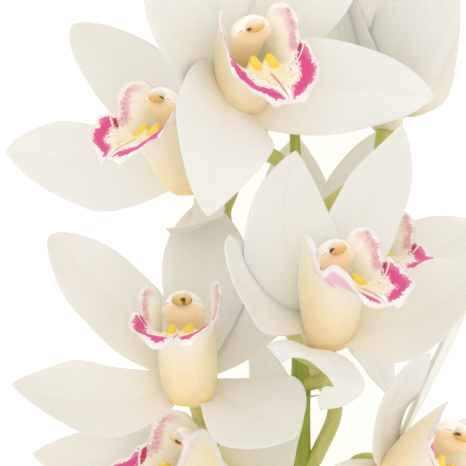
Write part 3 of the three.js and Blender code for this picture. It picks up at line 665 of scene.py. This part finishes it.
# ------------------------------------------------------------------ materials
class Paint:
    """A node material, put together from small expressions."""

    def __init__(self, name):
        self.material = bpy.data.materials.new(name)
        self.material.use_nodes = True
        self.tree = self.material.node_tree
        self.tree.nodes.clear()
        self.shader = self.tree.nodes.new("ShaderNodeBsdfPrincipled")
        output = self.tree.nodes.new("ShaderNodeOutputMaterial")
        self.tree.links.new(self.shader.outputs[0], output.inputs["Surface"])

    def feed(self, socket, value):
        if isinstance(value, bpy.types.NodeSocket):
            self.tree.links.new(value, socket)
        elif isinstance(value, tuple) and len(value) == 3 and socket.type == "RGBA":
            socket.default_value = (*value, 1)
        else:
            socket.default_value = value

    def node(self, kind, settings=(), **inputs):
        node = self.tree.nodes.new(kind)
        for key, value in dict(settings).items():
            setattr(node, key, value)
        for key, value in inputs.items():
            self.feed(node.inputs[key.replace("_", " ")], value)
        return node

    def value(self, name):
        return self.node("ShaderNodeAttribute", {"attribute_name": name}).outputs["Fac"]

    def vector(self, name):
        return self.node("ShaderNodeAttribute", {"attribute_name": name}).outputs["Vector"]

    def part(self, vector, axis):
        return self.node("ShaderNodeSeparateXYZ", Vector=vector).outputs[axis]

    def math(self, operation, *values):
        node = self.node("ShaderNodeMath", {"operation": operation})
        for i, value in enumerate(values):
            self.feed(node.inputs[i], value)
        return node.outputs[0]

    def times(self, *values):
        total = values[0]
        for value in values[1:]:
            total = self.math("MULTIPLY", total, value)
        return total

    def inverse(self, x):
        """1 less x."""
        return self.math("SUBTRACT", 1, x)

    def line(self, x, slope, start):
        return self.math("MULTIPLY_ADD", x, slope, start)

    def jitter(self, x, noise, amount):
        """x with the noise, which is about a half, shifting it either way."""
        return self.line(self.math("SUBTRACT", noise, 0.5), amount, x)

    def ramp(self, x, low, high):
        settings = {"interpolation_type": "SMOOTHSTEP"}
        node = self.node("ShaderNodeMapRange", settings, Value=x, From_Min=low, From_Max=high)
        return node.outputs[0]

    def fall(self, x, low, high):
        """1 up to low, fading to 0 at high."""
        return self.inverse(self.ramp(x, low, high))

    def band(self, x, a, b, c, d):
        """1 between b and c, fading to 0 at a and at d."""
        return self.times(self.ramp(x, a, b), self.fall(x, c, d))

    def mix(self, share, a, b):
        node = self.node("ShaderNodeMix", {"data_type": "RGBA"})
        self.feed(node.inputs[0], share)
        self.feed(node.inputs[6], a)
        self.feed(node.inputs[7], b)
        return node.outputs[2]

    def over(self, color, tint, *shares):
        """The colour with a tint laid over it, as strong as the product of the shares."""
        return self.mix(self.times(*shares), color, tint)

    def scaled(self, vector, x, y, z):
        node = self.node("ShaderNodeVectorMath", {"operation": "MULTIPLY"})
        self.feed(node.inputs[0], vector)
        node.inputs[1].default_value = (x, y, z)
        return node.outputs[0]

    def combine(self, x, y, z):
        return self.node("ShaderNodeCombineXYZ", X=x, Y=y, Z=z).outputs[0]

    def noise(self, vector, scale, detail=2.0, rough=0.5):
        node = self.node("ShaderNodeTexNoise", Vector=vector, Scale=scale, Detail=detail,
                         Roughness=rough)
        return node.outputs["Fac"]

    def finish(self, color, roughness, height=None, depth=0.0001, soft=0.0, radius=0.001, painted_glow=0.0):
        """Join the shader up. height is the relief and depth its size, soft the share of light that
        goes radius deep, and glow a faint emission of the surface's own colour: painted light that lifts its
        shade, standing in for light let through thin tissue."""
        inputs = self.shader.inputs
        self.feed(inputs["Base Color"], color)
        self.feed(inputs["Roughness"], roughness)
        if soft:
            inputs["Subsurface Weight"].default_value = soft
            inputs["Subsurface Radius"].default_value = (1.0, 0.8, 0.55)
            inputs["Subsurface Scale"].default_value = radius
        # painted light: a faint emission in the surface's own colour that brightens its shaded parts
        if painted_glow:
            self.feed(inputs["Emission Color"], color)
            inputs["Emission Strength"].default_value = painted_glow
        if height is not None:
            node = self.node("ShaderNodeBump", Height=height)
            node.inputs["Distance"].default_value = depth
            node.inputs["Strength"].default_value = 1.0
            self.feed(inputs["Normal"], node.outputs[0])
        return self.material


def tepal_paint():
    p = Paint("waxy tepal")
    cool_white, warm_white, blush_white = (0.875, 0.850, 0.790), (0.900, 0.883, 0.832), (0.90, 0.84, 0.78)
    cream, root_gold, tip_green = (0.88, 0.82, 0.66), (0.82, 0.74, 0.42), (0.82, 0.82, 0.66)
    rib_green, vein_green, back_cream = (0.82, 0.79, 0.62), (0.70, 0.66, 0.52), (0.87, 0.82, 0.74)
    along, across, front, tone = (p.value(n) for n in ("along", "across", "front", "tone"))
    local = p.vector("local")
    cloud = p.noise(local, 0.09, 3.0)
    color = p.mix(cloud, cool_white, warm_white)
    color = p.over(color, blush_white, p.ramp(cloud, 0.45, 0.75), tone, 0.45)
    color = p.over(color, cream, p.fall(along, 0.02, 0.42), 0.7)
    color = p.over(color, root_gold, p.fall(along, 0.0, 0.13), 0.8)
    color = p.over(color, tip_green, p.ramp(along, 0.88, 1.0), 0.3)
    color = p.over(color, rib_green, p.fall(p.math("ABSOLUTE", across), 0.0, 0.12), 0.14)
    # fine veins along the blade
    wander = p.line(p.noise(local, 0.2, 2.0), 0.10, across)
    vein = p.ramp(p.math("SINE", p.times(wander, 47.0)), 0.5, 1.0)
    fade = p.band(along, 0.03, 0.12, 0.8, 0.98)
    color = p.over(color, vein_green, vein, fade, 0.018)
    color = p.over(color, back_cream, p.inverse(front), 0.2)
    speck = p.noise(local, 2.2, 2.0)
    height = p.math("ADD", p.times(vein, fade, -0.25), p.times(speck, 0.5))
    return p.finish(color, p.line(speck, 0.12, 0.42), height, 0.00007, soft=0.35, radius=0.0022)


def lip_paint():
    p = Paint("painted lip")
    throat, ivory, gold = (0.97, 0.84, 0.56), (0.97, 0.93, 0.85), (0.95, 0.80, 0.42)
    rose, magenta, crimson = (0.72, 0.31, 0.43), (0.74, 0.055, 0.26), (0.58, 0.03, 0.11)
    streak_red, line_red, margin_pink = (0.66, 0.08, 0.13), (0.66, 0.12, 0.14), (0.84, 0.55, 0.68)
    keel_yellow, lit_ridge_yellow = (0.93, 0.66, 0.05), (0.96, 0.76, 0.10)
    foot_gold, peach, pale_peach = (0.90, 0.64, 0.14), (0.95, 0.78, 0.50), (0.96, 0.88, 0.75)
    rust, mauve, pale_mauve, margin_white = (
        (0.84, 0.56, 0.42), (0.76, 0.47, 0.60), (0.82, 0.54, 0.62), (0.91, 0.85, 0.83))
    along, across, rim, keel, front = (p.value(n) for n in ("along", "across", "rim", "keel", "front"))
    local = p.vector("local")
    wide = p.noise(local, 0.20, 1.0)
    rag = p.noise(local, 0.85, 3.0, 0.6)
    fine = p.noise(local, 2.4, 2.0, 0.6)
    streak = p.noise(p.combine(p.times(across, 26.0), p.times(along, 11.0), 0.0), 1.0, 3.0, 0.6)
    reach = p.math("ABSOLUTE", across)
    # how far in from the margin, in millimetres, with ragged edges for what follows the margin
    edge = p.jitter(p.jitter(rim, rag, 3.2), wide, 2.6)
    inside = p.jitter(p.jitter(edge, streak, 5.5), fine, 4.2)
    # the inner face: cream, golden round the keels and in the throat
    inner = p.mix(p.ramp(along, 0.1, 0.5), throat, ivory)
    inner = p.over(inner, gold, p.fall(reach, 0.15, 0.55), p.band(along, 0.4, 0.52, 0.72, 0.92), 0.6)
    # a blush of fine grains on the side lobes
    blush = p.times(p.band(along, 0.36, 0.48, 0.56, 0.58), p.ramp(edge, 0.9, 1.9),
                    p.fall(inside, 2.8, 5.6), p.line(p.ramp(fine, 0.36, 0.58), 0.62, 0.32))
    inner = p.over(inner, rose, blush)
    # a magenta band inside the margin of the midlobe, open at the middle of its tip
    tip_edge = p.line(p.ramp(along, 0.74, 0.94), -1.1, edge)
    inner = p.over(inner, magenta, p.ramp(along, 0.665, 0.675), p.ramp(tip_edge, 0.95, 1.2),
                   p.fall(inside, 5.3, 5.6), p.ramp(reach, 0.10, 0.26))
    # a crimson stripe across the front of the side lobes
    place = p.jitter(along, fine, 0.05)
    inner = p.over(inner, crimson, p.band(place, 0.556, 0.562, 0.648, 0.654), p.ramp(edge, 1.1, 1.3),
                   p.fall(inside, 4.9, 5.2))
    # red streaks inside the band, a red line along the middle, pink on the margin, and yellow keels with a
    # painted highlight on their crests
    inner = p.over(inner, streak_red, p.ramp(streak, 0.56, 0.60), p.ramp(fine, 0.42, 0.50),
                   p.band(rim, 4.5, 5.5, 9.5, 12.5), p.band(along, 0.56, 0.64, 0.95, 1.0), 0.8)
    inner = p.over(inner, line_red, p.fall(reach, 0.012, 0.035), p.band(along, 0.62, 0.68, 0.92, 0.97), 0.7)
    inner = p.over(inner, margin_pink, p.fall(rim, 1.0, 3.2), p.ramp(along, 0.6, 0.68),
                   p.line(p.ramp(wide, 0.42, 0.60), 0.25, 0.12))
    # the keels: yellow, with deeper flanks as painted shade and a painted highlight along each crest
    inner = p.over(inner, keel_yellow, p.ramp(keel, 0.30, 0.60))
    inner = p.over(inner, lit_ridge_yellow, p.ramp(keel, 0.6, 0.95), 0.6)
    # the outer face: peach, golden at the foot, with the magenta showing through
    outer = p.mix(p.ramp(along, 0.02, 0.22), foot_gold, peach)
    outer = p.over(outer, pale_peach, p.ramp(along, 0.20, 0.50))
    outer = p.over(outer, rust, p.ramp(wide, 0.44, 0.66), p.band(along, 0.04, 0.12, 0.24, 0.34), 0.25)
    outer = p.over(outer, mauve, p.ramp(along, 0.64, 0.68), p.ramp(rim, 1.4, 2.8),
                   p.ramp(reach, 0.06, 0.22), p.fall(rim, 4.6, 7.0), 0.8)
    outer = p.over(outer, pale_mauve, blush, 0.6)
    outer = p.over(outer, margin_white, p.fall(rim, 0.6, 3.0))
    height = p.math("ADD", p.times(fine, 0.5), p.times(rag, 0.5))
    # the lip's faint emission is painted light that brightens the shade in its throat
    return p.finish(p.mix(front, outer, inner), p.line(fine, 0.15, 0.42), height, 0.00025,
                    soft=0.45, radius=0.0025, painted_glow=0.05)


def column_paint():
    p = Paint("waxy column")
    cream, ivory = (0.96, 0.92, 0.81), (0.97, 0.94, 0.87)
    apricot, deep_apricot, wine = (0.96, 0.74, 0.46), (0.93, 0.72, 0.42), (0.45, 0.08, 0.14)
    along, under, wing, local = p.value("along"), p.value("under"), p.value("wing"), p.vector("local")
    cloud = p.noise(local, 0.35, 2.0)
    color = p.mix(cloud, cream, ivory)
    color = p.over(color, apricot, p.ramp(under, 0.1, 0.8), 0.9)
    color = p.over(color, deep_apricot, p.ramp(under, 0.5, 0.95), p.ramp(along, 0.72, 0.86), 0.5)
    streak = p.noise(p.scaled(local, 1.2, 1.2, 0.3), 1.0, 2.0)
    color = p.over(color, wine, p.ramp(wing, 0.75, 0.95), p.ramp(streak, 0.53, 0.58),
                   p.band(along, 0.5, 0.6, 0.9, 0.95), 0.7)
    # the column's faint emission is painted light that brightens the shade under it
    return p.finish(color, p.line(cloud, 0.1, 0.36), cloud, 0.0002, soft=0.5, radius=0.004, painted_glow=0.09)


def anther_paint():
    p = Paint("anther cap")
    amber, cream, painted_rim_shadow, gap_brown_and_shade = (
        (0.88, 0.60, 0.20), (0.94, 0.90, 0.76), (0.20, 0.07, 0.03), (0.12, 0.035, 0.02))
    ball, spot, local = p.vector("ball"), p.vector("spot"), p.vector("local")
    cloud = p.noise(local, 0.9, 2.0)
    color = p.mix(p.ramp(p.part(ball, "Y"), -0.6, 0.75), amber, cream)
    # painted shadow: a dark brown line in the gap under the lower rim of the cap
    color = p.over(color, painted_rim_shadow, p.ramp(p.jitter(p.value("line"), cloud, 0.5), 0.35, 0.6), 0.9)
    away = p.math("ADD", p.math("POWER", p.part(spot, "X"), 2.0), p.math("POWER", p.part(spot, "Y"), 2.0))
    away = p.jitter(away, cloud, 0.10)
    # the dark spot of the gap under the cap: brown tissue, deepened with painted shade
    color = p.over(color, gap_brown_and_shade, p.fall(away, 0.02, 0.07), p.ramp(p.part(ball, "Z"), -0.4, 0.0), 0.95)
    return p.finish(color, p.line(cloud, 0.1, 0.42), cloud, 0.0002, soft=0.25, radius=0.0012)


def stem_paint(name, young, old, dark):
    p = Paint(name)
    pore_green, cut_cream = (0.60, 0.62, 0.30), (0.72, 0.74, 0.42)
    local, along = p.vector("local"), p.value("along")
    fibre = p.noise(p.scaled(local, 2.2, 0.10, 2.2), 1.0, 3.0, 0.6)
    patch = p.noise(p.scaled(local, 0.12, 0.03, 0.12), 1.0, 2.0)
    pores = p.noise(local, 1.9, 1.0)
    color = p.mix(p.ramp(patch, 0.35, 0.65), young, old)
    color = p.over(color, dark, p.ramp(fibre, 0.45, 0.75), 0.45)
    color = p.over(color, pore_green, p.ramp(pores, 0.66, 0.72), 0.35)
    color = p.over(color, cut_cream, p.band(along, -0.02, -0.01, 0.004, 0.006), 0.8)
    height = p.math("ADD", p.times(fibre, 0.8), p.times(pores, 0.3))
    return p.finish(color, p.line(fibre, 0.15, 0.34), height, 0.00035, soft=0.12, radius=0.0015)


def bract_paint(name, base, tip):
    p = Paint(name)
    fibre_brown = (0.36, 0.36, 0.12)
    local, along = p.vector("local"), p.value("along")
    fibre = p.noise(p.scaled(local, 2.6, 0.12, 2.6), 1.0, 3.0, 0.6)
    color = p.mix(p.ramp(along, 0.3, 0.95), base, tip)
    color = p.over(color, fibre_brown, p.ramp(fibre, 0.5, 0.75), 0.4)
    return p.finish(color, p.line(fibre, 0.2, 0.42), fibre, 0.0003, soft=0.15, radius=0.001)


def bud_paint():
    p = Paint("closed bud")
    foot_green, tip_cream = (0.56, 0.60, 0.24), (0.84, 0.82, 0.58)
    cloud_green, seam_green = (0.70, 0.72, 0.40), (0.46, 0.46, 0.16)
    local, along, seam = p.vector("local"), p.value("along"), p.value("seam")
    cloud = p.noise(local, 0.3, 3.0)
    color = p.mix(p.ramp(along, 0.05, 0.85), foot_green, tip_cream)
    color = p.over(color, cloud_green, cloud, 0.4)
    color = p.over(color, seam_green, p.ramp(seam, 0.02, 0.09), 0.7)
    return p.finish(color, p.line(cloud, 0.15, 0.38), cloud, 0.0003, soft=0.25, radius=0.002)


# ------------------------------------------------------------------ the whole stem
tepal_look, lip_look, column_look, anther_look = tepal_paint(), lip_paint(), column_paint(), anther_paint()
stalk_look = stem_paint("stalk", young=(0.37, 0.43, 0.040), old=(0.47, 0.50, 0.065),
                        dark=(0.25, 0.30, 0.02))
pedicel_look = stem_paint("pedicel", young=(0.60, 0.60, 0.15), old=(0.74, 0.68, 0.24),
                          dark=(0.46, 0.48, 0.09))
bract_look = bract_paint("bract", base=(0.46, 0.52, 0.14), tip=(0.62, 0.58, 0.26))
sheath_look = bract_paint("sheath", base=(0.42, 0.50, 0.15), tip=(0.60, 0.56, 0.30))
bud_look = bud_paint()

for number, bloom in enumerate(BLOOMS):
    rng = np.random.default_rng(FIRST_SEED + number)
    name, place, move = bloom["name"], turn(bloom), bloom["at"]
    form = FORMS.get(name, {})
    spot = form.get("spot", (0.7 * (-1) ** number, -0.5))
    cap = anther_cap(spot, form.get("spot_size", 1.0), form.get("rim_shadow", 0.0))
    tepals(bloom, rng).piece(f"{name}_tepals", tepal_look, place, move, "tepals", [f"{name}_perianth"])
    lip(form.get("lip_bends", ()), rng).piece(
        f"{name}_labellum", lip_look, place, move, "lip", [f"{name}_lip"])
    column().piece(f"{name}_gynostemium", column_look, place, move, "column", [f"{name}_column"])
    cap.piece(f"{name}_anther", anther_look, place, move, "anther_cap", [f"{name}_anther_cap"])
for piece in BUDS:
    bud(piece).piece(f"{piece['name']}_closed", bud_look, slot="buds", nodes=[piece["name"]])
stalk().piece("stalk", stalk_look, slot="stem", nodes=["stem"])
pedicels().piece("pedicels", pedicel_look, slot="stem", nodes=["stem"])
bracts().piece("bracts", bract_look, slot="stem", nodes=["stem"])
sheaths().piece("sheaths", sheath_look, slot="stem", nodes=["stem"])


# ------------------------------------------------------------------ stage, light and camera, in metres
FLOOR_SIZE, FLOOR_DROP, FLOOR_GLOW = 18.0, 0.0003, 0.6
SKY_STRENGTH = 0.82
CAMERA_HEIGHT, CAMERA_LENS, CAMERA_SENSOR = 1.55, 362.1, 36


def stage():
    """A pale, faintly glowing floor just under the stem."""
    mesh = bpy.data.meshes.new("floor")
    half = FLOOR_SIZE / 2
    corners = [(-half, -half), (half, -half), (half, half), (-half, half)]
    mesh.from_pydata([(x, y, -FLOOR_DROP) for x, y in corners], [], [(0, 1, 2, 3)])
    floor = bpy.data.objects.new("floor", mesh)
    bpy.context.collection.objects.link(floor)
    p = Paint("floor")
    grain = p.noise(p.node("ShaderNodeTexCoord").outputs["Object"], 3.0, 3.0)
    color = p.mix(grain, (0.54, 0.54, 0.54), (0.58, 0.58, 0.58))
    p.shader.inputs["Emission Color"].default_value = (1, 1, 1, 1)
    p.shader.inputs["Emission Strength"].default_value = FLOOR_GLOW
    mesh.materials.append(p.finish(color, 0.8))


def lamp(name, place, target, size, power):
    """A round, white area lamp that shines at the target."""
    light = bpy.data.lights.new(name, "AREA")
    light.shape, light.size, light.energy = "DISK", size, power
    back = unit(np.array(place, float) - np.array(target, float))
    side = unit(np.cross((0, 1, 0), back))
    up = np.cross(back, side)
    holder = bpy.data.objects.new(name, light)
    holder.location = place
    holder.rotation_mode = "QUATERNION"
    holder.rotation_quaternion = Matrix(np.array([side, up, back]).T.tolist()).to_quaternion()
    holder.visible_camera = False
    bpy.context.collection.objects.link(holder)


stage()
lamp("softbox", place=(0.22, 0.02, 1.0), target=(0, 0.06, 0.03), size=0.9, power=1.4)
lamp("fill", place=(-1.0, 0.5, 1.6), target=(0, 0.05, 0), size=1.4, power=2)
world = bpy.data.worlds.new("studio")
world.use_nodes = True
world.node_tree.nodes["Background"].inputs["Color"].default_value = (1, 1, 1, 1)
world.node_tree.nodes["Background"].inputs["Strength"].default_value = SKY_STRENGTH
bpy.context.scene.world = world
bpy.context.scene.view_settings.view_transform = "Standard"

camera = bpy.data.cameras.new("camera")
camera.lens, camera.sensor_width = CAMERA_LENS, CAMERA_SENSOR
camera.clip_start, camera.clip_end = 0.05, 50
eye = bpy.data.objects.new("camera", camera)
# straight above the origin of the stem's own plan, looking down
eye.location = (*(-MIDDLE[:2] * MILLIMETRE), CAMERA_HEIGHT)
bpy.context.collection.objects.link(eye)
bpy.context.scene.camera = eye
